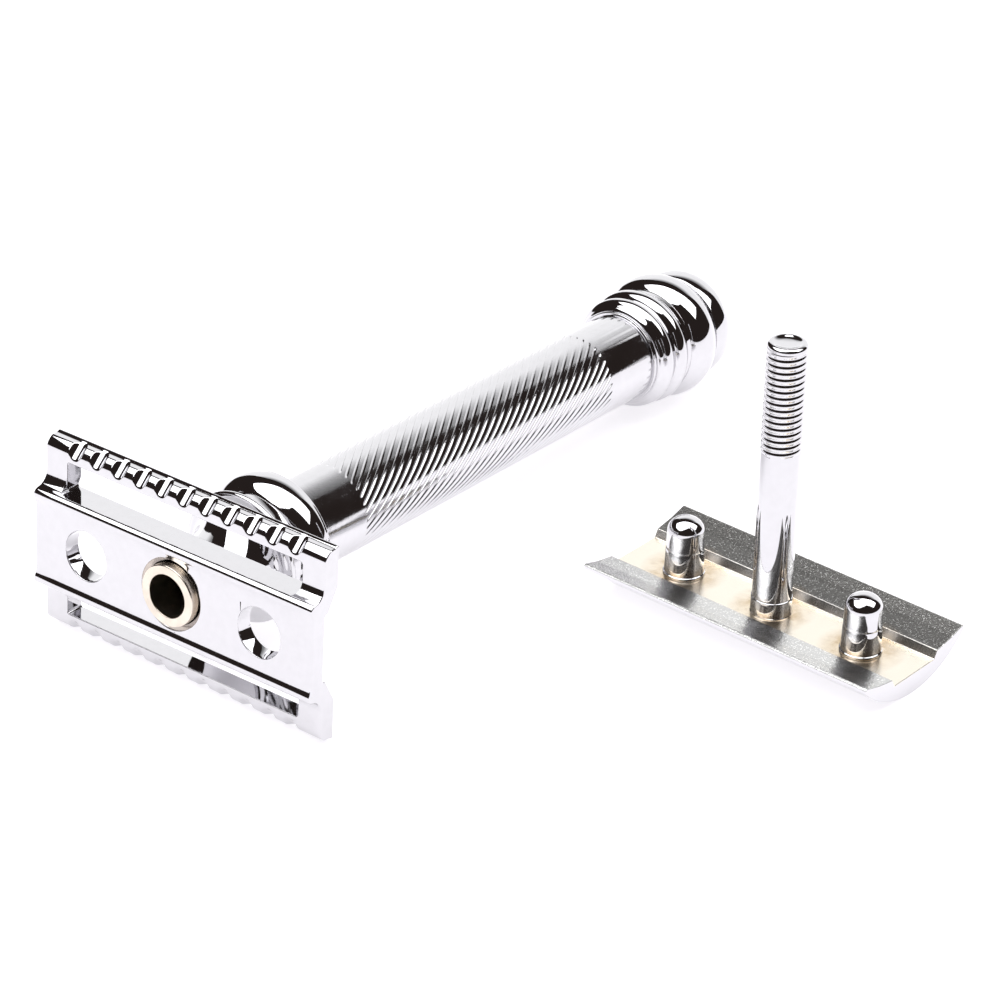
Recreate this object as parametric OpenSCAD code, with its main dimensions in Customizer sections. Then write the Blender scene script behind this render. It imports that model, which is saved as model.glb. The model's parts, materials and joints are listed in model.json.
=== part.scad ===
// Long-handled safety razor for double-edge blades, shown taken apart: the handle with its
// baseplate lies on the bench, and the cap lies on its back beside it with the stud upwards.
// Bench at z = 0. The handle runs along +X from the head to the knob, and the origin is on the
// bench, under the middle of the whole.

/* [Head] */
// Length of the baseplate along the blade
plate_len = 41.5; // [38:0.1:46]
// Thickness of the baseplate's flat land
land_t = 2.0; // [1.5:0.1:3]
// Half width of the flat land
land_half = 3.7; // [3:0.1:4.2]
// Height of the ridges above the land
ridge_rise = 0.42; // [0.2:0.02:0.8]
// Depth of the groove floors below the land
floor_drop = 1.75; // [1.2:0.05:2.2]
// Half width over the two safety bars
bar_half = 12.4; // [12.2:0.05:12.8]
// Distance between the two peg holes
peg_pitch = 26; // [24:0.1:28]
// Radius of a peg hole at the land
peg_hole_r = 3.12; // [2.9:0.02:3.4]
// Scalloped grooves in each safety bar
scallops = 11; // [5:2:13]
// Distance between neighbouring scallops
scallop_pitch = 3.27; // [2.6:0.01:3.4]
// Radius of a scallop
scallop_r = 1.15; // [0.7:0.05:1.3]

/* [Handle] */
// Slope of the lying handle, down towards the knob
handle_tilt = 2.83; // [0:0.01:5]
// Outer radius of the handle tube
handle_r = 5.7; // [5.2:0.05:6.2]
// Distance from the land to the handle's lower end
handle_end = 85.2; // [75:0.1:95]
// Radius of the neck collar's domed rim
collar_r = 8.55; // [7.8:0.05:9]
// Radius of the knob's bulb
bulb_r = 8.15; // [7.8:0.05:8.3]
// Distance from the land to the knob's end face
knob_end = 102.5; // [100:0.1:106]

/* [Drive] */
// Outer radius of the drive tube
drive_r = 3.78; // [3.6:0.01:3.85]
// Bore radius at the drive tube's mouth
mouth_r = 2.63; // [2.5:0.01:2.8]
// How far the drive tube stands out of the land
mouth_rise = 0.7; // [0:0.05:1.2]
// Running clearance on radius between the drive tube and its bushes
running_gap = 0.05; // [0.02:0.01:0.1]

/* [Cap] */
// Length of the cap along the blade
cap_len = 41.2; // [38:0.1:46]
// Width of the cap over its long edges
cap_width = 19.3; // [18:0.1:20]
// Radius of the cap's convex outside
cap_dome_r = 13.2; // [12.5:0.1:15]
// Height of the cap's land above the bench
cap_land_z = 2.67; // [2.2:0.05:3]
// Height of the cap's long edges above the bench
cap_edge_z = 4.78; // [4.5:0.02:5.2]
// Place of the cap's stud on the bench, along the handle
cap_x = 54.6; // [40:0.1:70]
// Place of the cap's stud on the bench, across the handle
cap_y = -45; // [-60:0.1:-40]
// Turn of the lying cap against the baseplate
cap_yaw = -3; // [-10:0.1:10]
// Length of the stud above the cap's land
stud_len = 35.35; // [30:0.05:37]
// Radius of the stud's plain shank
stud_r = 2.38; // [2.2:0.01:2.4]
// Crest radius of the stud's thread
thread_r = 2.42; // [2.4:0.01:2.45]
// Pitch of the stud's thread
thread_pitch = 0.8; // [0.7:0.01:1.2]
// Radius of a locating peg at its base
peg_r = 2.45; // [2.2:0.01:2.6]
// Height of a locating peg above the cap's land
peg_len = 7.4; // [6:0.1:8]

/* [Hidden] */
$fn = 96;

// Overlap that keeps a cutter's face off the face that it cuts
eps = 0.01;

chrome = [0.86, 0.87, 0.88];
satin = [0.66, 0.66, 0.65];
nickel = [0.80, 0.74, 0.66];
bronze = [0.72, 0.52, 0.30];
steel = [0.55, 0.56, 0.58];

// Head section, in the plane across the blade
ridge_v = 5.5;
floor_v = 8.1;
bar_v = 11.05;
bar_back = 4.1;
web_v = 4.35;
slot_v = [6.2, 9.85];
slot_half = 17.5;
peg_hole_sink = 0.12;
tube_hole_r = drive_r + 0.12;

// Stations along the handle, measured from the land towards the knob
spigot_start = 10;
collar_end = 18.4;
insert_start = 19;
insert_len = 12;
bush_len = 8;
washer_t = 0.55;
knob_start = handle_end + washer_t;
drive_end = knob_start + 6.2;
plug_len = 8;
bulb_s = knob_start + 8.85;
groove_s = knob_start + 11.6;
disc_start = groove_s + 0.15;

// The knob's bulb rests on the bench, and the lower bar just clears it
bulb_c = 6.2;
bulb_half = 2.9;
bulb_reach = norm([(bulb_r - bulb_c) * cos(handle_tilt), bulb_half * sin(handle_tilt)]);
axis_height = bulb_s * sin(handle_tilt) + bulb_c * cos(handle_tilt) + bulb_reach;

// Radii inside the handle
spigot_r = 5.0;
handle_bore_r = 4.4;
drive_bore_r = 3.1;
insert_bore_r = 2.47;
screw_r = 1.5;
hub_bore_r = 5.2;

// Knob's end disc
disc_r = 7.2;
disc_edge = 3.2;

// Cap
thread_depth = 0.3;
thread_start = cap_land_z + 21.25;
stud_top = cap_land_z + stud_len;
collar_h = 2.1;
cap_step_x = 4.45;
cap_wall_z = 3.66;

// Middle of the whole, seen from above
mouth_chamfer = 0.15;
far_x = (knob_end - disc_edge) * cos(handle_tilt) + (disc_r - disc_edge) * sin(handle_tilt) + disc_edge;
near_x = -mouth_rise * cos(handle_tilt) - (drive_r - mouth_chamfer) * sin(handle_tilt);
near_y = cap_y - cap_len / 2 * cos(cap_yaw) - cap_width / 2 * abs(sin(cap_yaw));
middle = [(far_x + near_x) / 2, (plate_len / 2 + near_y) / 2];

// Points of an arc about c, from angle a0 to a1, in n steps, on radii rx and ry
function arc(c, rx, ry, a0, a1, n) =
    [for (i = [0:n]) let (a = a0 + (a1 - a0) * i / n) [c[0] + rx * cos(a), c[1] + ry * sin(a)]];

// Smooth outline through stops [v, s, slope in degrees], in n steps from each stop to the next
function curve(stops, n) =
    [for (j = [0:len(stops) - 2], i = [0:n - 1])
        let (a = stops[j], b = stops[j + 1], w = i / n, reach = norm([b[0] - a[0], b[1] - a[1]]))
        let (h0 = 2 * w^3 - 3 * w^2 + 1, h1 = (w^3 - 2 * w^2 + w) * reach, h3 = (w^3 - w^2) * reach)
        [h0 * a[0] + h1 * cos(a[2]) + (1 - h0) * b[0] + h3 * cos(b[2]),
            h0 * a[1] + h1 * sin(a[2]) + (1 - h0) * b[1] + h3 * sin(b[2])]];

// Mirrors an outline's half in its first coordinate and closes it
function both_halves(half) =
    concat(half, [for (i = [len(half) - 1:-1:0]) [-half[i][0], half[i][1]]]);

// Children drawn about +Z are laid along the handle; +X then points down to the bench
module along_handle() {
    translate([-middle[0], -middle[1], axis_height])
        rotate([0, 90 + handle_tilt, 0])
            children();
}

module on_cap() {
    translate([cap_x - middle[0], cap_y - middle[1], 0])
        rotate([0, 0, cap_yaw])
            children();
}

// A turned piece between two stations, with a plain bore
module sleeve(s0, s1, r_out, r_in) {
    translate([0, 0, s0])
        difference() {
            cylinder(r = r_out, h = s1 - s0);
            translate([0, 0, -1])
                cylinder(r = r_in, h = s1 - s0 + 2);
        }
}

// Half section of the baseplate: land, ridge, groove floor, bar front, back and web
ridge_stops = [
    [land_half, 0, 0],
    [4.75, -0.2, -17],
    [ridge_v, -ridge_rise, 0],
    [5.93, -0.24, 48],
    [6.24, 0.42, 80],
    [6.8, 1.36, 41],
    [floor_v, floor_drop, 0]];
rim_stops = [
    [bar_v - 0.3, floor_drop, 0],
    [bar_v + 0.45, floor_drop + 0.3, 41],
    [bar_half - 0.3, floor_drop + 1.25, 84],
    [bar_half, bar_back - 0.18, 90]];
plate_half = concat(
    [[0, 0]],
    curve(ridge_stops, 3),
    [[floor_v, floor_drop]],
    curve(rim_stops, 4),
    arc([bar_half - 0.18, bar_back - 0.18], 0.18, 0.18, 0, 90, 2),
    [[7.2, bar_back], [web_v, land_t + 0.5], [web_v - 0.25, land_t], [0, land_t]]);

module scallop(side, i) {
    translate([side * (bar_v + 0.9), i * scallop_pitch, floor_drop - 0.05])
        rotate([0, side * 45, 0])
            cylinder(r = scallop_r, h = 12, center = true, $fn = 32);
}

// Long slot between the land and a safety bar; its inner wall cuts the ridge's back
module slot(side) {
    mid = side * (slot_v[0] + slot_v[1]) / 2;
    width = slot_v[1] - slot_v[0];
    translate([mid, 0, 0])
        cube([width, 2 * slot_half, 20], center = true);
}

module peg_hole(side) {
    translate([0, side * peg_pitch / 2, 0]) {
        translate([0, 0, -1])
            cylinder(r = peg_hole_r - peg_hole_sink, h = land_t + 2);
        translate([0, 0, -eps])
            cylinder(r1 = peg_hole_r, r2 = peg_hole_r - peg_hole_sink, h = 0.4);
    }
}

module baseplate() {
    color(chrome)
        along_handle()
            difference() {
                rotate([90, 0, 0])
                    linear_extrude(plate_len, center = true)
                        polygon(both_halves(plate_half));
                for (side = [-1, 1]) {
                    slot(side);
                    peg_hole(side);
                    for (i = [-(scallops - 1) / 2:(scallops - 1) / 2])
                        scallop(side, i);
                }
                translate([0, 0, -1])
                    cylinder(r = tube_hole_r, h = land_t + 2);
                translate([0, 0, -eps])
                    cylinder(r1 = tube_hole_r + 0.5, r2 = tube_hole_r, h = 0.5);
            }
}

// Bell-shaped neck: a flare, a thin ring, a groove and a domed rim
module neck_collar() {
    neck_r = 4.4;
    color(chrome)
        along_handle()
            rotate_extrude()
                polygon(concat(
                    [[tube_hole_r, land_t], [neck_r, land_t]],
                    arc([neck_r + 3, 4.6], 3, 6.9, 180, 90, 8),
                    arc([7.6, 12.05], 0.45, 0.5, -90, 90, 6),
                    [[7.0, 12.9], [7.0, 13.6]],
                    arc([collar_r - 2.6, 17.04], 2.6, 3.1, -64, 18, 9),
                    arc([collar_r - 0.42, collar_end - 0.3], 0.3, 0.3, 12, 90, 3),
                    [[spigot_r, collar_end], [spigot_r, spigot_start], [tube_hole_r, spigot_start]]));
}

module handle_tube() {
    color(chrome)
        along_handle()
            rotate_extrude()
                polygon([[handle_bore_r, spigot_start], [spigot_r, spigot_start],
                    [spigot_r, collar_end], [handle_r, collar_end],
                    [handle_r, handle_end - 0.3], [handle_r - 0.3, handle_end],
                    [handle_bore_r, handle_end]]);
}

module upper_bush() {
    color(bronze)
        along_handle()
            sleeve(spigot_start + 1, spigot_start + 1 + bush_len, handle_bore_r, drive_r + running_gap);
}

module lower_bush() {
    color(bronze)
        along_handle()
            sleeve(handle_end - bush_len, handle_end, handle_bore_r, drive_r + running_gap);
}

// Thin ring seen between the handle and the knob
module thrust_washer() {
    color(chrome)
        along_handle()
            sleeve(handle_end, knob_start, handle_r + 0.35, drive_r + running_gap);
}

// Hollow shaft from the head to the knob; the insert fills its counterbore's upper end
module drive_tube() {
    top = -mouth_rise;
    color(nickel)
        along_handle()
            rotate_extrude()
                polygon([[mouth_r, top], [drive_r - mouth_chamfer, top], [drive_r, top + mouth_chamfer],
                    [drive_r, drive_end], [drive_bore_r, drive_end],
                    [drive_bore_r, insert_start], [mouth_r, insert_start]]);
}

module thread_insert() {
    color(bronze)
        along_handle()
            sleeve(insert_start, insert_start + insert_len, drive_bore_r, insert_bore_r);
}

// Ring on the drive tube, above the lower bush, that holds the tube in the handle
module retaining_ring() {
    ring_end = handle_end - bush_len - running_gap;
    color(steel)
        along_handle()
            sleeve(ring_end - 1.2, ring_end, handle_bore_r - 0.12, drive_r);
}

// Plug in the drive tube's lower end, tapped for the knob's screw
module tube_plug() {
    color(steel)
        along_handle()
            sleeve(drive_end - plug_len, drive_end, drive_bore_r, screw_r);
}

// Two rounded rings and a large bulb, with a pocket for the screw's head
module knob() {
    s = knob_start;
    color(chrome)
        along_handle()
            rotate_extrude()
                polygon(concat(
                    [[drive_r, s], [6.15, s]],
                    arc([6.15, s + 1.55], 1.1, 1.15, -70, 80, 8),
                    arc([6.3, s + 4.15], 1.25, 1.35, -70, 80, 8),
                    [[6.95, s + 5.6]],
                    arc([bulb_c, bulb_s], bulb_r - bulb_c, bulb_half, -62, 62, 12),
                    [[7.0, groove_s], [hub_bore_r, groove_s], [hub_bore_r, drive_end + 1],
                        [screw_r + 0.1, drive_end + 1], [screw_r + 0.1, drive_end],
                        [drive_r, drive_end]]));
}

// Screw that clamps the knob to the tube plug, with a hexagon socket
module knob_screw() {
    head_s = drive_end + 1.5;
    color(steel)
        along_handle()
            difference() {
                union() {
                    translate([0, 0, drive_end - plug_len + 1])
                        cylinder(r = screw_r, h = plug_len + 0.5);
                    translate([0, 0, head_s])
                        cylinder(r = 2.7, h = 2.2);
                }
                translate([0, 0, head_s + 0.9])
                    cylinder(r = 1.45, h = 2, $fn = 6);
            }
}

module screw_washer() {
    color(steel)
        along_handle()
            sleeve(drive_end + 1, drive_end + 1.5, 3.4, screw_r + 0.1);
}

// Rounded end disc with a spigot that closes the knob's pocket
module knob_end_disc() {
    color(chrome)
        along_handle()
            rotate_extrude()
                polygon(concat(
                    [[0, groove_s - 0.6], [hub_bore_r, groove_s - 0.6], [hub_bore_r, groove_s],
                        [6.9, groove_s], [6.9, disc_start], [disc_r, disc_start + 0.3]],
                    arc([disc_r - disc_edge, knob_end - disc_edge], disc_edge, disc_edge, 0, 90, 10),
                    [[0, knob_end]]));
}

// Half section of the cap lying on its back: land, step, sloping wall, thin edge, dome
cap_half = concat(
    [[0, cap_land_z], [cap_step_x - 0.6, cap_land_z], [cap_step_x, cap_wall_z],
        [7, cap_wall_z + 0.48], [cap_width / 2 - 0.35, cap_edge_z]],
    arc([cap_width / 2 - 0.3, cap_edge_z - 0.3], 0.3, 0.3, 80, 0, 3),
    [for (i = [0:11]) let (a = asin((cap_width / 2) / cap_dome_r) * (1 - i / 12))
        [cap_dome_r * sin(a), cap_dome_r * (1 - cos(a))]],
    [[0, 0]]);

module cap_plate() {
    seat_h = 2;
    color(satin)
        on_cap()
            difference() {
                rotate([90, 0, 0])
                    linear_extrude(cap_len, center = true)
                        polygon(both_halves(cap_half));
                translate([0, 0, cap_land_z - 1.5])
                    cylinder(r = 1.9, h = seat_h);
                for (side = [-1, 1])
                    translate([0, side * peg_pitch / 2, cap_land_z - 1.3])
                        cylinder(r = 1.6, h = seat_h);
            }
}

// Ridge of the thread: a helix with a ring of four corners at each step
module thread_ridge() {
    steps = 24;
    turns = floor((stud_top - 0.9 - thread_start) / thread_pitch);
    last = turns * steps;
    root = thread_r - thread_depth - 0.15;
    // The ridge fades in and out over half a turn at each end
    function fade(i) = 0.03 * max(0, 12 - i, i - last + 12);
    pts = [for (i = [0:last])
        let (a = 360 * i / steps, z = thread_start + thread_pitch * i / steps, c = thread_r - fade(i))
        for (corner = [[root, 0], [c, 0.38], [c, 0.52], [root, 0.9]])
            [corner[0] * cos(a), corner[0] * sin(a), z + corner[1] * thread_pitch]];
    // Two triangles for each of the four sides of a step
    sides = [for (i = [0:last - 1], k = [0:3])
        let (j = 4 * i + k, n = 4 * i + (k + 1) % 4)
        each [[j, n + 4, j + 4], [j, n, n + 4]]];
    tip = 4 * last;
    ends = [[2, 1, 0], [3, 2, 0], [tip, tip + 1, tip + 2], [tip, tip + 2, tip + 3]];
    polyhedron(points = pts, faces = concat(ends, sides));
}

module cap_stud() {
    core_r = thread_r - thread_depth;
    color(chrome)
        on_cap() {
            rotate_extrude()
                polygon([[0, cap_land_z - 1.5], [1.9, cap_land_z - 1.5], [1.9, cap_land_z],
                    [2.55, cap_land_z], [2.45, cap_land_z + collar_h], [stud_r, cap_land_z + collar_h + 0.12],
                    [stud_r, thread_start - 0.4], [core_r, thread_start + 0.1],
                    [core_r, stud_top - 0.5], [core_r - 0.35, stud_top - 0.05], [1.0, stud_top],
                    [0, stud_top - 0.3]]);
            thread_ridge();
        }
}

// Round-topped peg with a thin ring at its base and a spigot in the cap
module locating_peg(side) {
    plain_r = peg_r - 0.15;
    top_r = peg_r - 0.28;
    dome_h = 1.48;
    z = cap_land_z;
    color(chrome)
        on_cap()
            translate([0, side * peg_pitch / 2, 0])
                rotate_extrude()
                    polygon(concat(
                        [[0, z - 1.3], [1.6, z - 1.3], [1.6, z], [peg_r + 0.1, z], [peg_r + 0.1, z + 0.3],
                            [plain_r, z + 0.45], [plain_r, z + 3.5]],
                        arc([0, z + peg_len - dome_h], top_r, dome_h, 0, 90, 10)));
}

module left_peg() {
    locating_peg(1);
}

module right_peg() {
    locating_peg(-1);
}

baseplate();
neck_collar();
handle_tube();
upper_bush();
lower_bush();
thrust_washer();
drive_tube();
thread_insert();
retaining_ring();
tube_plug();
knob();
knob_screw();
screw_washer();
knob_end_disc();
cap_plate();
cap_stud();
left_peg();
right_peg();
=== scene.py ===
"""Safety razor, taken apart: the handle lies on the bench and the cap lies on its back beside it."""

import json
import math

import bmesh
import bpy
from mathutils import Matrix, Vector


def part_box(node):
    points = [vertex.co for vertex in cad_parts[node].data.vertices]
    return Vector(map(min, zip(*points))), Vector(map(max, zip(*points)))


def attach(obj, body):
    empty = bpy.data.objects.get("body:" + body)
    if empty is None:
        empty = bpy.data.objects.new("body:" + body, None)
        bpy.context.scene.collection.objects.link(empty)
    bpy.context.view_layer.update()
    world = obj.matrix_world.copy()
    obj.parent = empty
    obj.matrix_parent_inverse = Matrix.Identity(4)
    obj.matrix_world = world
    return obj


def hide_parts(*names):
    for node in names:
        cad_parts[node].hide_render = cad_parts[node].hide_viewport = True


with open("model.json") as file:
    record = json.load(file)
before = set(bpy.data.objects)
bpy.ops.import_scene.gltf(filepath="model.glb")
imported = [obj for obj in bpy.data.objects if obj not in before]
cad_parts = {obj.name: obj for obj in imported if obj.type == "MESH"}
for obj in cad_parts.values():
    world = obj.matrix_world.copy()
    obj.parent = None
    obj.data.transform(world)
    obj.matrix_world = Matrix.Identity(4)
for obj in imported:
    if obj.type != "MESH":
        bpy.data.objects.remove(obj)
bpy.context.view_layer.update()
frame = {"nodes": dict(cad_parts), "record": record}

MM = 0.001

# ---------------------------------------------------------------- frames of the two loose halves
MOUNTS = {m["name"]: m for m in frame["record"]["mounts"]}


def handle_frame():
    """Matrix from handle millimetres (x down to the bench, y across, z from head to knob) to metres."""
    face = MOUNTS["knob_face"]
    along = Vector(face["axis"]).normalized()
    across = Vector((0, 1, 0))
    down = across.cross(along)
    origin = Vector(face["pos_m"]) - along * KNOB_END * MM
    turn = Matrix((down, across, along)).transposed().to_4x4()
    return Matrix.Translation(origin) @ turn @ Matrix.Scale(MM, 4)


def cap_frame():
    """Matrix from cap millimetres (x across the cap, y along the blade, z up from the bench) to metres."""
    low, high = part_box("left_peg")
    left = (Vector(low) + Vector(high)) / 2
    low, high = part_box("right_peg")
    right = (Vector(low) + Vector(high)) / 2
    along = (left - right).normalized()
    across = along.cross(Vector((0, 0, 1)))
    origin = (left + right) / 2
    origin.z = 0
    turn = Matrix((across, along, Vector((0, 0, 1)))).transposed().to_4x4()
    return Matrix.Translation(origin) @ turn @ Matrix.Scale(MM, 4)


# ---------------------------------------------------------------- sizes in millimetres
# They are the CAD's, apart from the thread's depth, the slots' outer wall and the bars' width.
PLATE_LEN = 41.5
LAND_HALF = 3.7
LAND_T = 2.0
FLOOR_DROP = 1.75
RIDGE_RISE = 0.42
BAR_HALF = 12.23
BAR_BACK = 4.1
BAR_V = 11.05
RIDGE_V = 5.5
PEG_PITCH = 26.0
PEG_HOLE_R = 3.12
SLOT_V = (6.2, 9.83)
SLOT_HALF = 17.5
SCALLOPS = 11
SCALLOP_PITCH = 3.27
SCALLOP_R = 1.15

HANDLE_R = 5.7
HANDLE_END = 85.2
SPIGOT_START = 10.0
SPIGOT_R = 5.0
HANDLE_BORE_R = 4.4
COLLAR_END = 18.4
COLLAR_R = 8.55
FLUTE_START = 27.7
FLUTE_END = 76.7
FLUTES = 36
FLUTE_TURN = -6.1
FLUTE_DEPTH = 0.1
KNOB_START = 85.75
BULB_R = 8.15
KNOB_END = 102.5
DISC_R = 7.2

DRIVE_R = 3.78
DRIVE_END = KNOB_START + 6.2
DRIVE_BORE_R = 3.1
TUBE_HOLE_R = DRIVE_R + 0.12
INSERT_START = 19.0
MOUTH_R = 2.63
MOUTH_RISE = 0.7

CAP_LEN = 41.2
CAP_HALF = 9.65
CAP_DOME_R = 13.2
LAND_Z = 2.67
WALL_Z = 3.66
EDGE_Z = 4.78
STUD_TOP = LAND_Z + 35.35
STUD_R = 2.38
THREAD_R = 2.42
THREAD_DEPTH = 0.13
THREAD_PITCH = 0.8
THREAD_START = LAND_Z + 21.25
THREAD_END = STUD_TOP - 0.5
PEG_LEN = 7.4

HANDLE = handle_frame()
CAP = cap_frame()


# ---------------------------------------------------------------- outline helpers
def arc(cx, cy, rx, ry, a0, a1, n):
    """Points of an arc about (cx, cy), angles in degrees."""
    steps = [math.radians(a0 + (a1 - a0) * i / n) for i in range(n + 1)]
    return [(cx + rx * math.cos(a), cy + ry * math.sin(a)) for a in steps]


def rounded(corners, closed=True, n=6):
    """Outline through corners (x, y, radius) with each corner turned into an arc of that radius."""
    out = []
    count = len(corners)
    for i, (x, y, radius) in enumerate(corners):
        at_end = not closed and i in (0, count - 1)
        if radius <= 0 or at_end:
            out.append((x, y))
            continue
        here = Vector((x, y))
        back = Vector(corners[i - 1][:2]) - here
        ahead = Vector(corners[(i + 1) % count][:2]) - here
        half = back.angle(ahead) / 2
        reach = min(radius / math.tan(half), back.length * 0.49, ahead.length * 0.49)
        r = reach * math.tan(half)
        centre = here + (back.normalized() + ahead.normalized()).normalized() * (r / math.sin(half))
        start = here + back.normalized() * reach - centre
        end = here + ahead.normalized() * reach - centre
        sweep = start.angle_signed(end) * -1
        for k in range(n + 1):
            t = sweep * k / n
            turned = Vector(
                (start.x * math.cos(t) - start.y * math.sin(t), start.x * math.sin(t) + start.y * math.cos(t))
            )
            out.append(tuple(centre + turned))
    return out


def both_halves(half):
    """Mirrors a half outline in x and closes it; the two ends of the half lie on x = 0."""
    return half + [(-x, y) for x, y in reversed(half) if abs(x) > 1e-6]


def smooth_min(a, b, k):
    h = max(k - abs(a - b), 0.0) / k
    return min(a, b) - h * h * k * 0.25


# ---------------------------------------------------------------- mesh helpers
def new_object(name, verts, faces, matrix, sharp=38):
    """Mesh object with smooth faces, edges sharper than `sharp` degrees kept crisp, and weighted normals."""
    mesh = bpy.data.meshes.new(name)
    mesh.from_pydata([tuple(matrix @ Vector(v)) for v in verts], [], faces)
    bm = bmesh.new()
    bm.from_mesh(mesh)
    bmesh.ops.remove_doubles(bm, verts=bm.verts, dist=1e-7)
    bmesh.ops.recalc_face_normals(bm, faces=bm.faces)
    bm.to_mesh(mesh)
    bm.free()
    obj = bpy.data.objects.new(name, mesh)
    bpy.context.scene.collection.objects.link(obj)
    soften(obj, sharp)
    return obj


def soften(obj, sharp):
    """Marks sharp edges by angle and weighs the normals by face area, so flats stay flat beside fillets."""
    mesh = obj.data
    bm = bmesh.new()
    bm.from_mesh(mesh)
    limit = math.radians(sharp)
    for face in bm.faces:
        face.smooth = True
    for edge in bm.edges:
        edge.smooth = len(edge.link_faces) == 2 and edge.calc_face_angle(0) < limit
    bm.to_mesh(mesh)
    bm.free()
    if "weighted" not in obj.modifiers:
        weighted = obj.modifiers.new("weighted", "WEIGHTED_NORMAL")
        weighted.keep_sharp = True
        weighted.weight = 90


def revolve(name, profile, matrix, segments=160, closed=True, radius_of=None):
    """Turns a profile of (radius, height) about z. radius_of may change a radius by height and angle."""
    verts, faces, rings = [], [], []
    for r, z in profile:
        if r < 1e-6:
            rings.append([len(verts)] * segments)
            verts.append((0, 0, z))
            continue
        rings.append(list(range(len(verts), len(verts) + segments)))
        for k in range(segments):
            a = 2 * math.pi * k / segments
            q = radius_of(r, z, a) if radius_of else r
            verts.append((q * math.cos(a), q * math.sin(a), z))
    pairs = list(zip(rings, rings[1:]))
    if closed:
        pairs.append((rings[-1], rings[0]))
    for low, high in pairs:
        if low[0] == low[1] and high[0] == high[1]:
            continue
        for k in range(segments):
            m = (k + 1) % segments
            quad = [low[k], low[m], high[m], high[k]]
            faces.append([v for i, v in enumerate(quad) if v not in quad[:i]])
    return new_object(name, verts, faces, matrix)


def outline_normals(outline):
    """Outward unit normals of a closed outline that runs anticlockwise."""
    normals = []
    count = len(outline)
    for i in range(count):
        before, after = Vector(outline[i - 1]), Vector(outline[(i + 1) % count])
        run = (after - before).normalized()
        normals.append(Vector((run.y, -run.x)))
    return normals


def signed_area(outline):
    pairs = zip(outline, outline[1:] + outline[:1])
    return sum(a[0] * b[1] - b[0] * a[1] for a, b in pairs) / 2


def bar(name, outline, length, matrix, edge=0.15, stations=(), shape=None, sharp=38):
    """Outline in (x, z) carried along y, with its end edges rounded by `edge`. shape moves a point at y."""
    if signed_area(outline) < 0:
        outline = outline[::-1]
    normals = outline_normals(outline)
    half = length / 2
    steps = 5
    ends = [(half - edge + edge * math.sin(math.pi / 2 * i / steps),
             edge * (1 - math.cos(math.pi / 2 * i / steps))) for i in range(steps + 1)]
    columns = [(-y, inset) for y, inset in reversed(ends)]
    columns += [(y, 0.0) for y in sorted(stations) if abs(y) < half - edge - 1e-4]
    columns += ends
    verts, faces = [], []
    count = len(outline)
    for y, inset in columns:
        for (x, z), n in zip(outline, normals):
            px, pz = x - n.x * inset, z - n.y * inset
            if shape:
                px, pz = shape(px, pz, y)
            verts.append((px, y, pz))
    for c in range(len(columns) - 1):
        for i in range(count):
            j = (i + 1) % count
            a, b = c * count, (c + 1) * count
            faces.append([a + i, a + j, b + j, b + i])
    faces.append(list(range(count)))
    last = (len(columns) - 1) * count
    faces.append([last + i for i in reversed(range(count))])
    return new_object(name, verts, faces, matrix, sharp)


def cut(obj, cutters, sharp=38):
    """Takes the cutters out of obj and deletes them."""
    for cutter in cutters:
        boolean = obj.modifiers.new("cut", "BOOLEAN")
        boolean.operation = "DIFFERENCE"
        boolean.solver = "EXACT"
        boolean.object = cutter
    weighted = obj.modifiers.get("weighted")
    obj.modifiers.remove(weighted)
    bpy.context.view_layer.update()
    shown = obj.evaluated_get(bpy.context.evaluated_depsgraph_get())
    mesh = bpy.data.meshes.new_from_object(shown)
    obj.modifiers.clear()
    old = obj.data
    obj.data = mesh
    mesh.name = obj.name
    bpy.data.meshes.remove(old)
    for cutter in cutters:
        bpy.data.objects.remove(cutter)
    bm = bmesh.new()
    bm.from_mesh(mesh)
    bmesh.ops.remove_doubles(bm, verts=bm.verts, dist=2e-7)
    bm.to_mesh(mesh)
    bm.free()
    soften(obj, sharp)


# ---------------------------------------------------------------- head
def curve(stops, n):
    """Smooth outline through stops (x, y, slope in degrees)."""
    out = []
    for (x0, y0, a0), (x1, y1, a1) in zip(stops, stops[1:]):
        reach = math.hypot(x1 - x0, y1 - y0)
        u0 = (math.cos(math.radians(a0)) * reach, math.sin(math.radians(a0)) * reach)
        u1 = (math.cos(math.radians(a1)) * reach, math.sin(math.radians(a1)) * reach)
        for i in range(n):
            w = i / n
            h0 = 2 * w**3 - 3 * w**2 + 1
            h1 = w**3 - 2 * w**2 + w
            h2 = 3 * w**2 - 2 * w**3
            h3 = w**3 - w**2
            x = h0 * x0 + h1 * u0[0] + h2 * x1 + h3 * u1[0]
            y = h0 * y0 + h1 * u0[1] + h2 * y1 + h3 * u1[1]
            out.append((x, y))
    return out + [stops[-1][:2]]


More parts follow.
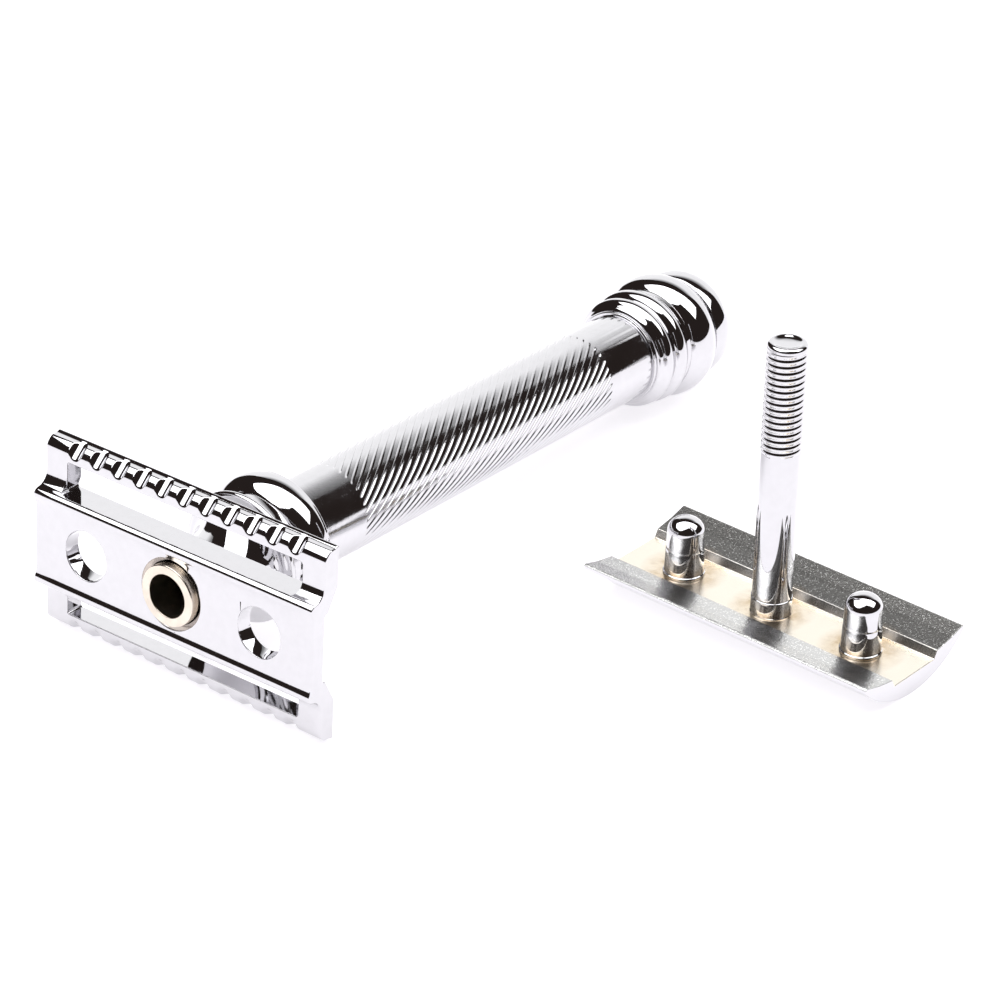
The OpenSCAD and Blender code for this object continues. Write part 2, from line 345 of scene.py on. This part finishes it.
def plate_outline():
    """Section of the baseplate across the blade; y is the depth behind the land."""
    ridge = [
        (LAND_HALF, 0, 0),
        (4.75, -0.20, -17),
        (RIDGE_V, -RIDGE_RISE, 0),
        (5.70, -0.39, 22),
        (5.93, -0.24, 48),
        (6.13, 0.06, 66),
        (6.24, 0.42, 80),
        (6.36, 0.83, 66),
        (6.80, 1.36, 41),
        (7.60, 1.71, 13),
        (8.10, FLOOR_DROP, 0),
    ]
    rim = [
        (BAR_V - 0.3, FLOOR_DROP, 0),
        (BAR_V - 0.1, 1.775, 13),
        (11.50, 2.05, 41),
        (12.00, 2.66, 66),
        (12.04, 2.82, 88),
        (12.06, 3.38, 86),
        (12.144, 3.605, 70),
    ]
    floor = [(8.1 + (BAR_V - 0.3 - 8.1) * i / 12, FLOOR_DROP) for i in range(1, 12)]
    corner = arc(BAR_HALF - 0.22, BAR_BACK - 0.22, 0.22, 0.22, -20, 90, 9)
    back = rounded([(BAR_HALF - 0.3, BAR_BACK, 0), (7.2, BAR_BACK, 0.5), (4.35, LAND_T + 0.5, 0.4),
                    (4.1, LAND_T, 0.25), (0, LAND_T, 0)], closed=False, n=6)
    return both_halves([(0, 0)] + curve(ridge, 6) + floor + curve(rim, 8) + corner + back)


def scallop_shape(x, z, y):
    """Presses a point of the bar's front down to the nearest scallop, with a soft lip."""
    side = 1 if x > 0 else -1
    v = abs(x)
    if v < BAR_V - 0.9 or z > BAR_BACK - 0.02:
        return x, z
    i = round(y / SCALLOP_PITCH)
    if abs(i) > (SCALLOPS - 1) // 2:
        return x, z
    off = abs(y - i * SCALLOP_PITCH)
    if off > SCALLOP_R * 1.25:
        return x, z
    slant = math.sqrt(0.5)
    dv, dz = v - (BAR_V + 0.9), z - (FLOOR_DROP - 0.05)
    outward = (dv - dz) * slant
    if outward < -1.6:
        return x, z
    inside = SCALLOP_R * 0.96
    floor = -math.sqrt(SCALLOP_R**2 - min(off, inside) ** 2) + max(off - inside, 0) * 4
    move = smooth_min(outward, floor, 0.12) - outward
    return side * (v + move * slant), z - move * slant


def scallop_stations():
    """Stations along the plate, close together at each scallop's walls."""
    out = set()
    top = (SCALLOPS - 1) // 2
    for i in range(-top, top + 1):
        for k in range(25):
            a = math.pi * k / 24
            out.add(round(i * SCALLOP_PITCH + 1.02 * SCALLOP_R * math.cos(a), 4))
        out.add(round((i + 0.5) * SCALLOP_PITCH, 4))
    return sorted(out)


def hole_cutter(name, x, y, r_top, r_wall, depth, lip, through):
    """Cutter for a round hole from the land: a rounded lip, a short cone and a plain wall."""
    lip_arc = [(r_top + lip * (1 - math.sin(math.radians(a))), lip * (1 - math.cos(math.radians(a))))
               for a in range(0, 91, 15)]
    profile = [(0, -1.0), (r_top + lip, -1.0)] + lip_arc + [(r_wall, depth), (r_wall, through), (0, through)]
    place = HANDLE @ Matrix.Translation((x, y, 0))
    return revolve(name, profile, place, segments=128, closed=False)


def slot_cutter(side):
    """Cutter for one long slot. Its inner wall is plain, and the other three flare at the floor."""
    inner, outer = SLOT_V
    lip = 0.12
    turns = [math.radians(a) for a in range(15, 91, 15)]
    levels = [(FLOOR_DROP - 2.0, lip), (FLOOR_DROP - 1e-3, lip)]
    levels += [(FLOOR_DROP + lip * (1 - math.cos(a)), lip * (1 - math.sin(a))) for a in turns]
    levels.append((BAR_BACK + 1, 0.0))
    verts, faces = [], []
    for z, grow in levels:
        low, high, end, r = inner, outer + grow, SLOT_HALF + grow, 0.35 + grow
        for cx, cy, a0 in (
            (high - r, end - r, 0), (low + r, end - r, 90), (low + r, r - end, 180), (high - r, r - end, 270)
        ):
            verts += [(side * px, py, z) for px, py in arc(cx, cy, r, r, a0, a0 + 90, 6)]
    count = len(verts) // len(levels)
    for c in range(len(levels) - 1):
        for i in range(count):
            j = (i + 1) % count
            faces.append([c * count + i, c * count + j, (c + 1) * count + j, (c + 1) * count + i])
    faces.append(list(range(count)))
    faces.append([(len(levels) - 1) * count + i for i in range(count)])
    return new_object("slot_cutter", verts, faces, HANDLE)


def make_baseplate():
    plate = bar("baseplate_body", plate_outline(), PLATE_LEN, HANDLE, 0.16, scallop_stations(), scallop_shape)
    cutters = [slot_cutter(-1), slot_cutter(1)]
    for side in (-1, 1):
        cutters.append(hole_cutter("peg_cutter", 0, side * PEG_PITCH / 2, PEG_HOLE_R, 3.0, 0.5, 0.1, 5))
    cutters.append(hole_cutter("tube_cutter", 0, 0, TUBE_HOLE_R + 0.5, TUBE_HOLE_R, 0.5, 0.06, 5))
    cut(plate, cutters)
    return plate


def make_collar():
    """Bell-shaped neck behind the plate: flare, thin ring, groove and domed rim."""
    flare = arc(7.4, 4.6, 3.0, 6.7, 180, 94, 24)
    ring = arc(7.62, 12.05, 0.42, 0.45, -80, 80, 12)
    rim = arc(COLLAR_R - 2.6, 17.04, 2.6, 3.1, -64, 18, 36)
    edge = arc(COLLAR_R - 0.42, COLLAR_END - 0.3, 0.3, 0.3, 12, 90, 8)
    profile = [(TUBE_HOLE_R, LAND_T), (4.4, LAND_T)] + flare + [(7.42, 11.45)] + ring
    profile += [(7.5, 12.6), (7.1, 12.9), (7.0, 13.6)] + rim + edge
    recess = COLLAR_END - 0.25
    profile += [(HANDLE_R + 0.35, COLLAR_END), (HANDLE_R + 0.2, recess), (SPIGOT_R, recess)]
    profile += [(SPIGOT_R, SPIGOT_START), (TUBE_HOLE_R, SPIGOT_START)]
    return revolve("collar_body", profile, HANDLE)


# ---------------------------------------------------------------- handle and knob
def flute_depth(phase):
    """Depth of the flute profile at a phase from 0 to 1: a narrow round groove and a broad crest."""
    d = abs(phase - 0.5) * 2
    return max(0.0, 1 - (d / 0.36) ** 2) ** 1.3


def flute_phase(k, per_flute):
    """Phase of vertex k within its flute, from 0 to 1, with the vertices gathered at the groove."""
    u = 2 * (k % per_flute) / per_flute - 1
    return 0.5 + 0.5 * (0.35 * u + 0.65 * u**3)


def make_handle():
    """Tube with a smooth band at each end and many-start spiral flutes between them."""
    per_flute = 16
    segments = FLUTES * per_flute
    fade = 0.45
    rows = [COLLAR_END - 0.3, COLLAR_END + 0.5, FLUTE_START - 0.3]
    rows += [FLUTE_START + fade * k / 6 for k in range(7)]
    steps = 98
    rows += [FLUTE_START + fade + (FLUTE_END - FLUTE_START - 2 * fade) * k / steps for k in range(1, steps)]
    rows += [FLUTE_END - fade * k / 6 for k in range(6, -1, -1)]
    rows += [FLUTE_END + 0.3, HANDLE_END - 0.3]
    rows += [HANDLE_END - 0.3 + 0.3 * math.sin(math.radians(a)) for a in (15, 30, 45, 60, 75, 90)]
    verts, faces = [], []
    for s in rows:
        twist = math.radians(FLUTE_TURN * (min(max(s, FLUTE_START), FLUTE_END) - FLUTE_START))
        ramp = min(1.0, max(0.0, (s - FLUTE_START) / fade), max(0.0, (FLUTE_END - s) / fade))
        ramp = ramp * ramp * (3 - 2 * ramp)
        over = max(0.0, s - (HANDLE_END - 0.3))
        edge = 0.3 - math.sqrt(max(0.0, 0.09 - over * over))
        for k in range(segments):
            phase = flute_phase(k, per_flute)
            r = HANDLE_R - FLUTE_DEPTH * ramp * flute_depth(phase) - edge
            a = 2 * math.pi * (k // per_flute + phase) / FLUTES + twist
            verts.append((r * math.cos(a), r * math.sin(a), s))
    inner = [(HANDLE_BORE_R, HANDLE_END), (HANDLE_BORE_R, SPIGOT_START), (SPIGOT_R, SPIGOT_START),
             (SPIGOT_R, COLLAR_END - 0.3)]
    for r, s in inner:
        for k in range(segments):
            a = 2 * math.pi * (k // per_flute + flute_phase(k, per_flute)) / FLUTES
            verts.append((r * math.cos(a), r * math.sin(a), s))
    count = len(rows) + len(inner)
    for c in range(count):
        d = (c + 1) % count
        for k in range(segments):
            m = (k + 1) % segments
            faces.append([c * segments + k, c * segments + m, d * segments + m, d * segments + k])
    return new_object("handle_body", verts, faces, HANDLE, sharp=60)


def make_washer():
    r, e = HANDLE_R + 0.35, 0.12
    inner = DRIVE_R + 0.05
    corners = [(inner, HANDLE_END, 0), (r, HANDLE_END, e), (r, KNOB_START, e), (inner, KNOB_START, 0)]
    return revolve("washer_body", rounded(corners, n=4), HANDLE)


def make_knob():
    """Two rounded rings and a bulb, parted by fine grooves."""
    s = KNOB_START
    groove = s + 11.6
    profile = [(DRIVE_R, s), (6.0, s), (6.35, s + 0.12), (6.5, s + 0.35)]
    profile += arc(6.15, s + 1.6, 1.1, 1.1, -62, 76, 20)
    profile += [(6.5, s + 2.74)]
    profile += arc(6.3, s + 4.1, 1.25, 1.3, -74, 76, 22)
    profile += [(6.72, s + 5.42), (6.95, s + 5.5), (6.98, s + 5.85)]
    profile += arc(6.2, s + 8.85, BULB_R - 6.2, 2.85, -66, 64, 30)
    profile += [(7.05, groove - 0.12), (7.0, groove), (5.2, groove), (5.2, DRIVE_END + 1)]
    profile += [(1.6, DRIVE_END + 1), (1.6, DRIVE_END), (DRIVE_R, DRIVE_END)]
    return revolve("knob_body", profile, HANDLE, segments=192)


def make_end_disc():
    s = KNOB_START + 11.6
    edge = 3.2
    profile = [(0, s - 0.6), (5.2, s - 0.6), (5.2, s), (6.9, s)]
    profile += [(6.9, s + 0.14), (7.08, s + 0.2), (DISC_R, s + 0.4)]
    profile += arc(DISC_R - edge, KNOB_END - edge, edge, edge, 0, 90, 22)
    profile += [(0, KNOB_END)]
    return revolve("end_disc_body", profile, HANDLE, segments=192, closed=False)


def make_drive_tube():
    top = -MOUTH_RISE
    corners = [
        (MOUTH_R, top, 0.1),
        (DRIVE_R, top, 0.16),
        (DRIVE_R, DRIVE_END, 0.1),
        (DRIVE_BORE_R, DRIVE_END, 0.1),
        (DRIVE_BORE_R, INSERT_START, 0),
        (MOUTH_R, INSERT_START, 0),
    ]
    return revolve("drive_tube_body", rounded(corners, n=5), HANDLE, segments=128)


# ---------------------------------------------------------------- cap
def cap_outline():
    """Section of the cap on its back: land, step, sloping wall, thin rounded edge and dome."""
    half_angle = math.degrees(math.asin(CAP_HALF / CAP_DOME_R))
    under = [(0, LAND_Z, 0), (3.85, LAND_Z, 0.18), (4.4, WALL_Z, 0.16), (7.2, WALL_Z + 0.5, 6.0),
             (CAP_HALF - 0.32, EDGE_Z, 0.1), (CAP_HALF, EDGE_Z - 0.12, 0.12)]
    dome = [(CAP_DOME_R * math.sin(math.radians(a)), CAP_DOME_R * (1 - math.cos(math.radians(a))))
            for a in (half_angle * (1 - i / 40) for i in range(41))]
    rim = rounded(under + [(dome[0][0], dome[0][1], 0.1), (dome[1][0], dome[1][1], 0)], closed=False, n=5)
    return both_halves(rim[:-1] + dome[1:])


def make_cap():
    return bar("cap_body", cap_outline(), CAP_LEN, CAP, 0.08, [k * 2.0 for k in range(-10, 11)])


def thread_radius(r, z, a):
    """Radius of the stud at a height and angle: a helical thread that runs out into the shank and the tip."""
    if z < THREAD_START - 0.5 or z > THREAD_END:
        return r
    turn = (z - THREAD_START) / THREAD_PITCH - a / (2 * math.pi)
    crest = (0.5 + 0.5 * math.cos(2 * math.pi * turn)) ** 0.8
    lead_in = min(1.0, max(0.0, (z - THREAD_START) / 0.4))
    run_out = min(1.0, (THREAD_END - z) / 0.3)
    cut_r = THREAD_R - THREAD_DEPTH * (1 - crest)
    return r + (cut_r - r) * lead_in * run_out


def make_stud():
    ring = [(1.9, LAND_Z, 0), (2.56, LAND_Z, 0.02), (2.5, LAND_Z + 0.16, 0.1), (2.47, LAND_Z + 2.05, 0.06)]
    ring.append((STUD_R, LAND_Z + 2.12, 0))
    foot = [(0, LAND_Z - 1.5), (1.9, LAND_Z - 1.5)] + rounded(ring, closed=False, n=4)
    first = THREAD_START - 0.6
    rows = int((THREAD_END - first) / THREAD_PITCH * 20)
    shaft = [(STUD_R, LAND_Z + 10)]
    shaft += [(STUD_R, first + (THREAD_END - first) * i / rows) for i in range(rows + 1)]
    tip = arc(STUD_R - 0.52, STUD_TOP - 0.5, 0.52, 0.5, 0, 90, 10)[1:]
    tip += [(1.72, STUD_TOP - 0.02), (1.55, STUD_TOP - 0.13), (1.0, STUD_TOP - 0.22), (0, STUD_TOP - 0.26)]
    return revolve("stud_body", foot + shaft + tip, CAP, segments=96, closed=False, radius_of=thread_radius)


def make_peg(name, side):
    """Tapered peg with a domed top, a faint seam at mid height and a thin ring at its foot."""
    z = LAND_Z
    dome = 1.75
    top_r = 2.22
    low_r = 2.42
    seam = z + 3.3
    top = z + PEG_LEN - dome
    profile = [(0, z - 1.3), (1.6, z - 1.3)]
    ring = [(1.6, z, 0), (2.56, z, 0.04), (2.56, z + 0.26, 0.1)]
    ring += [(low_r, z + 0.36, 0.06), (low_r, z + 0.6, 0)]
    profile += rounded(ring, closed=False, n=4)
    slope = (low_r - top_r) / (top - z - 0.6)
    heights = [z + 1, z + 1.5, z + 2, z + 2.6, seam, seam + 0.03, seam + 0.07, seam + 0.1]
    heights += [z + 3.7, z + 4.3, z + 5]
    for h in heights:
        groove = 0.006 if seam < h < seam + 0.1 else 0.0
        profile.append((low_r - slope * (h - z - 0.6) - groove, h))
    profile += arc(0, top, top_r, dome, 0, 90, 24)
    place = CAP @ Matrix.Translation((0, side * PEG_PITCH / 2, 0))
    return revolve(name, profile, place, segments=96, closed=False)


# ---------------------------------------------------------------- materials
CHROME_COLOUR = (0.62, 0.615, 0.635)
LAND_CREAM = (0.92, 0.86, 0.755)
# A lit and a shaded silver for the cap's two underside slopes: painted light and painted shade.
LIT_SLOPE_SILVER = (0.56, 0.56, 0.555)
SHADED_SLOPE_SILVER = (0.36, 0.357, 0.345)
SPARKLE_COLOUR = (0.92, 0.92, 0.91)
STAIN_PALE = (0.66, 0.47, 0.24)
STAIN_DEEP = (0.50, 0.32, 0.13)
CAST_GRAIN_SCALE = 3800
CAST_CELL_SCALE = 4200
# Sign of the cap's own x on the slope that gets the darker silver, which is painted shade.
SHADED_SLOPE_SIDE = -1


class Nodes:
    """Short names for building a material's node tree."""

    def __init__(self, name):
        self.material = bpy.data.materials.new(name)
        self.material.use_nodes = True
        self.tree = self.material.node_tree
        self.shader = self.tree.nodes["Principled BSDF"]
        self.coord = self.add("ShaderNodeTexCoord").outputs["Object"]

    def add(self, kind, **settings):
        node = self.tree.nodes.new(kind)
        for key, value in settings.items():
            setattr(node, key, value)
        return node

    def link(self, source, target):
        self.tree.links.new(source, target)

    def noise(self, scale, detail=3.0, rough=0.5, coord=None):
        node = self.add("ShaderNodeTexNoise")
        node.inputs["Scale"].default_value = scale
        node.inputs["Detail"].default_value = detail
        node.inputs["Roughness"].default_value = rough
        self.link(coord or self.coord, node.inputs["Vector"])
        return node.outputs["Fac"]

    def ramp(self, value, low, high, out_low=0.0, out_high=1.0):
        node = self.add("ShaderNodeMapRange")
        node.inputs["From Min"].default_value = low
        node.inputs["From Max"].default_value = high
        node.inputs["To Min"].default_value = out_low
        node.inputs["To Max"].default_value = out_high
        self.link(value, node.inputs["Value"])
        return node.outputs["Result"]

    def math(self, operation, a, b):
        node = self.add("ShaderNodeMath", operation=operation)
        for socket, value in zip(node.inputs, (a, b)):
            if isinstance(value, (int, float)):
                socket.default_value = value
            else:
                self.link(value, socket)
        return node.outputs[0]

    def mix(self, factor, low, high):
        node = self.add("ShaderNodeMix", data_type="RGBA")
        self.link(factor, node.inputs["Factor"])
        for socket, value in ((node.inputs[6], low), (node.inputs[7], high)):
            if isinstance(value, tuple):
                socket.default_value = (*value, 1.0)
            else:
                self.link(value, socket)
        return node.outputs[2]

    def bump(self, height, strength, distance, normal=None):
        node = self.add("ShaderNodeBump")
        node.inputs["Strength"].default_value = strength
        node.inputs["Distance"].default_value = distance
        self.link(height, node.inputs["Height"])
        if normal:
            self.link(normal, node.inputs["Normal"])
        return node.outputs["Normal"]

    def round_edges(self, radius):
        node = self.add("ShaderNodeBevel", samples=6)
        node.inputs["Radius"].default_value = radius
        return node.outputs["Normal"]


def metal(name, colour, rough_low, rough_high, bump=0.03, edge=0.05 * MM, grain_scale=9000):
    """Polished or plated metal with faint smudges, fine grain, a few dust specks and softened edges."""
    n = Nodes(name)
    n.shader.inputs["Metallic"].default_value = 1.0
    smudge = n.noise(260, 4, 0.6)
    n.link(n.ramp(smudge, 0.35, 0.7, rough_low, rough_high), n.shader.inputs["Roughness"])
    tint = n.ramp(n.noise(900, 2), 0.3, 0.7)
    n.link(n.mix(tint, tuple(c * 0.97 for c in colour), colour), n.shader.inputs["Base Color"])
    dust = n.add("ShaderNodeTexVoronoi")
    dust.inputs["Scale"].default_value = 700
    n.link(n.coord, dust.inputs["Vector"])
    specks = n.ramp(dust.outputs["Distance"], 0.03, 0.07, 1.0, 0.0)
    fine = n.bump(n.noise(grain_scale, 3, 0.65), bump, 0.01 * MM, n.round_edges(edge))
    n.link(n.bump(specks, 0.25, 0.02 * MM, fine), n.shader.inputs["Normal"])
    return n.material


def turned(name, colour, rough, pitch=0.12 * MM):
    """Turned metal with fine tool rings about the handle's axis."""
    n = Nodes(name)
    n.shader.inputs["Metallic"].default_value = 1.0
    n.shader.inputs["Roughness"].default_value = rough
    wave = n.add("ShaderNodeTexWave", wave_type="RINGS", rings_direction="X")
    wave.inputs["Scale"].default_value = 0.3 / pitch
    wave.inputs["Distortion"].default_value = 1.5
    shifted = n.add("ShaderNodeMapping")
    shifted.inputs["Location"].default_value = tuple(-c for c in (HANDLE @ Vector((0, 0, 0))))
    n.link(n.coord, shifted.inputs["Vector"])
    n.link(shifted.outputs["Vector"], wave.inputs["Vector"])
    stain = n.ramp(n.noise(500, 3), 0.35, 0.7)
    n.link(n.mix(stain, tuple(c * 0.8 for c in colour), colour), n.shader.inputs["Base Color"])
    n.link(n.bump(wave.outputs["Fac"], 0.12, 0.01 * MM), n.shader.inputs["Normal"])
    return n.material


def cast_cap(name):
    """Chrome over a cast underside: grainy where it faces up, polished on the dome, stained at the roots,
    with painted shade darkening one slope and painted glints in the grain.
    """
    n = Nodes(name)
    n.shader.inputs["Metallic"].default_value = 1.0
    local = n.add("ShaderNodeMapping", vector_type="TEXTURE")
    place = CAP @ Matrix.Scale(1 / MM, 4)
    local.inputs["Location"].default_value = place.to_translation()
    local.inputs["Rotation"].default_value = place.to_euler()
    n.link(n.coord, local.inputs["Vector"])
    axes = n.add("ShaderNodeSeparateXYZ")
    n.link(local.outputs["Vector"], axes.inputs["Vector"])
    facing = n.add("ShaderNodeSeparateXYZ")
    geometry = n.add("ShaderNodeNewGeometry")
    n.link(geometry.outputs["True Normal"], facing.inputs["Vector"])
    upward = n.ramp(facing.outputs["Z"], 0.03, 0.15)

    root = None
    for y in (-PEG_PITCH / 2, 0.0, PEG_PITCH / 2):
        dx = n.math("POWER", axes.outputs["X"], 2.0)
        dy = n.math("POWER", n.math("SUBTRACT", axes.outputs["Y"], y * MM), 2.0)
        reach = n.math("SQRT", n.math("ADD", dx, dy), 0.0)
        ring = n.ramp(reach, 2.5 * MM, 5.4 * MM, 1.0, 0.0)
        root = ring if root is None else n.math("MAXIMUM", root, ring)
    ragged = n.ramp(n.noise(420, 4, 0.6), 0.36, 0.64)
    stain = n.math("MULTIPLY", root, n.math("ADD", n.math("MULTIPLY", ragged, 0.6), 0.4))
    off_middle = n.math("ABSOLUTE", axes.outputs["X"], 0.0)
    land = n.ramp(off_middle, 3.7 * MM, 4.6 * MM, 1.0, 0.0)

    grain = n.noise(CAST_GRAIN_SCALE, 1, 0.8)
    cells = n.add("ShaderNodeTexVoronoi")
    cells.inputs["Scale"].default_value = CAST_CELL_SCALE
    n.link(n.coord, cells.inputs["Vector"])
    # Painted shade: one underside slope gets a darker silver than the other, standing in for how the light
    # falls on the two slopes.
    shaded_slope = n.ramp(axes.outputs["X"], -4.2 * MM * SHADED_SLOPE_SIDE, -4.8 * MM * SHADED_SLOPE_SIDE)
    slope_silver_light_and_shade = n.mix(shaded_slope, LIT_SLOPE_SILVER, SHADED_SLOPE_SILVER)
    # Painted glints: bright sparkle cells in the colour of the grainy underside; the same cells also bump the
    # surface.
    sparkle = n.math("MULTIPLY", n.ramp(cells.outputs["Distance"], 0.42, 0.28), n.ramp(grain, 0.46, 0.54))
    skin = n.mix(sparkle, slope_silver_light_and_shade, SPARKLE_COLOUR)
    cream = n.mix(land, skin, LAND_CREAM)
    brown = n.mix(ragged, STAIN_PALE, STAIN_DEEP)
    under = n.mix(n.math("MULTIPLY", stain, 0.8), cream, brown)
    n.link(n.mix(upward, CHROME_COLOUR, under), n.shader.inputs["Base Color"])
    n.link(n.ramp(upward, 0.0, 1.0, 0.04, 0.27), n.shader.inputs["Roughness"])
    height = n.math("ADD", n.math("MULTIPLY", grain, 0.5), n.math("MULTIPLY", cells.outputs["Distance"], 0.5))
    strong = n.math("MULTIPLY", n.math("MULTIPLY", height, upward), n.ramp(land, 0.0, 1.0, 1.0, 0.15))
    n.link(n.bump(strong, 0.6, 0.03 * MM, n.round_edges(0.05 * MM)), n.shader.inputs["Normal"])
    return n.material


def paint(obj, material):
    obj.data.materials.clear()
    obj.data.materials.append(material)


# ---------------------------------------------------------------- stage
FLOOR_REACH = 3.0
FLOOR_COLOUR = (0.62, 0.61, 0.63)
FLOOR_GLOW_COLOUR = (0.99, 0.975, 1.0)
FLOOR_GLOW = 0.7
ROOM_DARK = (0.028, 0.021, 0.019)
ROOM_SEEN = (0.93, 0.93, 0.94)
PANEL_HEIGHT = 1.1
PANEL_LIGHT = 3.3
PANEL_CORNERS = (
    (-0.17, -0.37),
    (0.33, -1.42),
    (1.07, -0.81),
    (0.45, 0.0),
    (0.31, 0.30),
    (-0.09, 1.04),
    (-0.90, 0.90),
    (-1.30, 0.40),
    (-1.11, 0.0),
    (-0.45, -0.33),
)
SWEEP_DISTANCE = 1.3
SWEEP_MIDDLE = 20
SWEEP_CORNERS = (
    (-24, -1),
    (-20, 15),
    (-14, 30),
    (-9, 44),
    (0, 46.5),
    (35, 46.5),
    (50, 42),
    (58, 30),
    (62, -1),
)
SWEEP_LIGHT = 1.35
SWEEP_DIM = 0.3
SWEEP_FADE = (0.8, 1.4)
CAMERA_AZIMUTH = -53.02
CAMERA_ELEVATION = 29.69
CAMERA_ROLL = 1.35
CAMERA_DISTANCE = 0.47
CAMERA_TARGET = Vector((-0.00383, 0.0121, 0.0082))
CAMERA_LENS = 141.2


def flat_stage(name, corners, material):
    """One flat face of the set: the floor, the light panel overhead or the lit sweep behind."""
    mesh = bpy.data.meshes.new(name)
    mesh.from_pydata([tuple(c) for c in corners], [], [list(range(len(corners)))])
    mesh.materials.append(material)
    obj = bpy.data.objects.new(name, mesh)
    bpy.context.scene.collection.objects.link(obj)
    return obj


def glow(name, strength, fade=None):
    """Plain white light; fade gives the heights between which it falls away to SWEEP_DIM."""
    material = bpy.data.materials.new(name)
    material.use_nodes = True
    tree = material.node_tree
    tree.nodes.clear()
    light = tree.nodes.new("ShaderNodeEmission")
    light.inputs["Strength"].default_value = strength
    if fade:
        coord = tree.nodes.new("ShaderNodeTexCoord")
        axes = tree.nodes.new("ShaderNodeSeparateXYZ")
        falloff = tree.nodes.new("ShaderNodeMapRange")
        falloff.interpolation_type = "SMOOTHSTEP"
        for socket, value in zip(("From Min", "From Max", "To Min", "To Max"), (*fade, strength, SWEEP_DIM)):
            falloff.inputs[socket].default_value = value
        tree.links.new(coord.outputs["Object"], axes.inputs["Vector"])
        tree.links.new(axes.outputs["Z"], falloff.inputs["Value"])
        tree.links.new(falloff.outputs["Result"], light.inputs["Strength"])
    output = tree.nodes.new("ShaderNodeOutputMaterial")
    tree.links.new(light.outputs[0], output.inputs["Surface"])
    return material


def make_floor():
    n = Nodes("floor_white")
    n.shader.inputs["Base Color"].default_value = (*FLOOR_COLOUR, 1)
    n.shader.inputs["Emission Color"].default_value = (*FLOOR_GLOW_COLOUR, 1)
    n.shader.inputs["Emission Strength"].default_value = FLOOR_GLOW
    n.shader.inputs["Roughness"].default_value = 0.6
    n.shader.inputs["Specular IOR Level"].default_value = 0.1
    r = FLOOR_REACH
    flat_stage("floor", [(-r, -r, 0), (r, -r, 0), (r, r, 0), (-r, r, 0)], n.material)


def make_light():
    """A white panel overhead and a lit sweep behind, in a dark room; the camera sees neither of them."""
    corners = [(x * PANEL_HEIGHT, y * PANEL_HEIGHT, PANEL_HEIGHT) for x, y in PANEL_CORNERS]
    panel = flat_stage("light_panel", corners, glow("panel_light", PANEL_LIGHT))
    corners = []
    for azimuth, elevation in SWEEP_CORNERS:
        turn = math.radians(azimuth - SWEEP_MIDDLE)
        height = math.tan(math.radians(elevation)) / math.cos(turn)
        corners.append(Vector((1, math.tan(turn), height)) * SWEEP_DISTANCE)
    corners = [Matrix.Rotation(math.radians(SWEEP_MIDDLE), 3, "Z") @ c for c in corners]
    sweep = flat_stage("sweep", corners, glow("sweep_light", SWEEP_LIGHT, SWEEP_FADE))
    for obj in (panel, sweep):
        obj.visible_camera = False

    world = bpy.data.worlds.new("room")
    bpy.context.scene.world = world
    world.use_nodes = True
    tree = world.node_tree
    room = tree.nodes["Background"]
    room.inputs["Color"].default_value = (*ROOM_DARK, 1)
    pale = tree.nodes.new("ShaderNodeBackground")
    pale.inputs["Color"].default_value = (*ROOM_SEEN, 1)
    rays = tree.nodes.new("ShaderNodeLightPath")
    mix = tree.nodes.new("ShaderNodeMixShader")
    tree.links.new(rays.outputs["Is Camera Ray"], mix.inputs["Fac"])
    tree.links.new(room.outputs[0], mix.inputs[1])
    tree.links.new(pale.outputs[0], mix.inputs[2])
    tree.links.new(mix.outputs[0], tree.nodes["World Output"].inputs["Surface"])
    bpy.context.scene.view_settings.view_transform = "Standard"


def make_camera():
    a, e = math.radians(CAMERA_AZIMUTH), math.radians(CAMERA_ELEVATION)
    back = Vector((math.sin(a) * math.cos(e), -math.cos(a) * math.cos(e), math.sin(e)))
    right = (-back).cross(Vector((0, 0, 1))).normalized()
    up = right.cross(-back)
    data = bpy.data.cameras.new("camera")
    data.lens = CAMERA_LENS
    data.sensor_width = 36
    data.clip_start = 0.01
    data.clip_end = 20
    camera = bpy.data.objects.new("camera", data)
    bpy.context.scene.collection.objects.link(camera)
    turn = Matrix((right, up, back)).transposed().to_4x4()
    roll = Matrix.Rotation(math.radians(CAMERA_ROLL), 4, "Z")
    camera.matrix_world = Matrix.Translation(CAMERA_TARGET + back * CAMERA_DISTANCE) @ turn @ roll
    bpy.context.scene.camera = camera


# ---------------------------------------------------------------- the object
chrome = metal("chrome", CHROME_COLOUR, 0.02, 0.06)
fluted = metal("fluted_chrome", CHROME_COLOUR, 0.04, 0.14, bump=0.6, grain_scale=5000)
nickel = turned("nickel", (0.80, 0.72, 0.62), 0.22)
bronze = turned("bronze", (0.72, 0.50, 0.28), 0.28)
steel = turned("steel", (0.55, 0.55, 0.56), 0.3)
cast = cast_cap("cast_chrome")

PIECES = [
    (make_baseplate(), "baseplate", "handle", chrome),
    (make_collar(), "neck_collar", "handle", chrome),
    (make_handle(), "handle_tube", "handle", fluted),
    (make_washer(), "thrust_washer", "handle", chrome),
    (make_knob(), "knob", "drive", chrome),
    (make_end_disc(), "knob_end_disc", "drive", chrome),
    (make_drive_tube(), "drive_tube", "drive", nickel),
    (make_cap(), "cap_plate", "cap", cast),
    (make_stud(), "cap_stud", "cap", chrome),
    (make_peg("left_peg_body", 1), "left_peg", "cap", chrome),
    (make_peg("right_peg_body", -1), "right_peg", "cap", chrome),
]
for piece, node, body, material in PIECES:
    paint(piece, material)
    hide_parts(node)
    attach(piece, body)

INNER = {
    "upper_bush": bronze,
    "lower_bush": bronze,
    "thread_insert": bronze,
    "retaining_ring": steel,
    "tube_plug": steel,
    "knob_screw": steel,
    "screw_washer": steel,
}
for node, material in INNER.items():
    for slot in frame["nodes"][node].material_slots:
        slot.material = material

make_floor()
make_light()
make_camera()
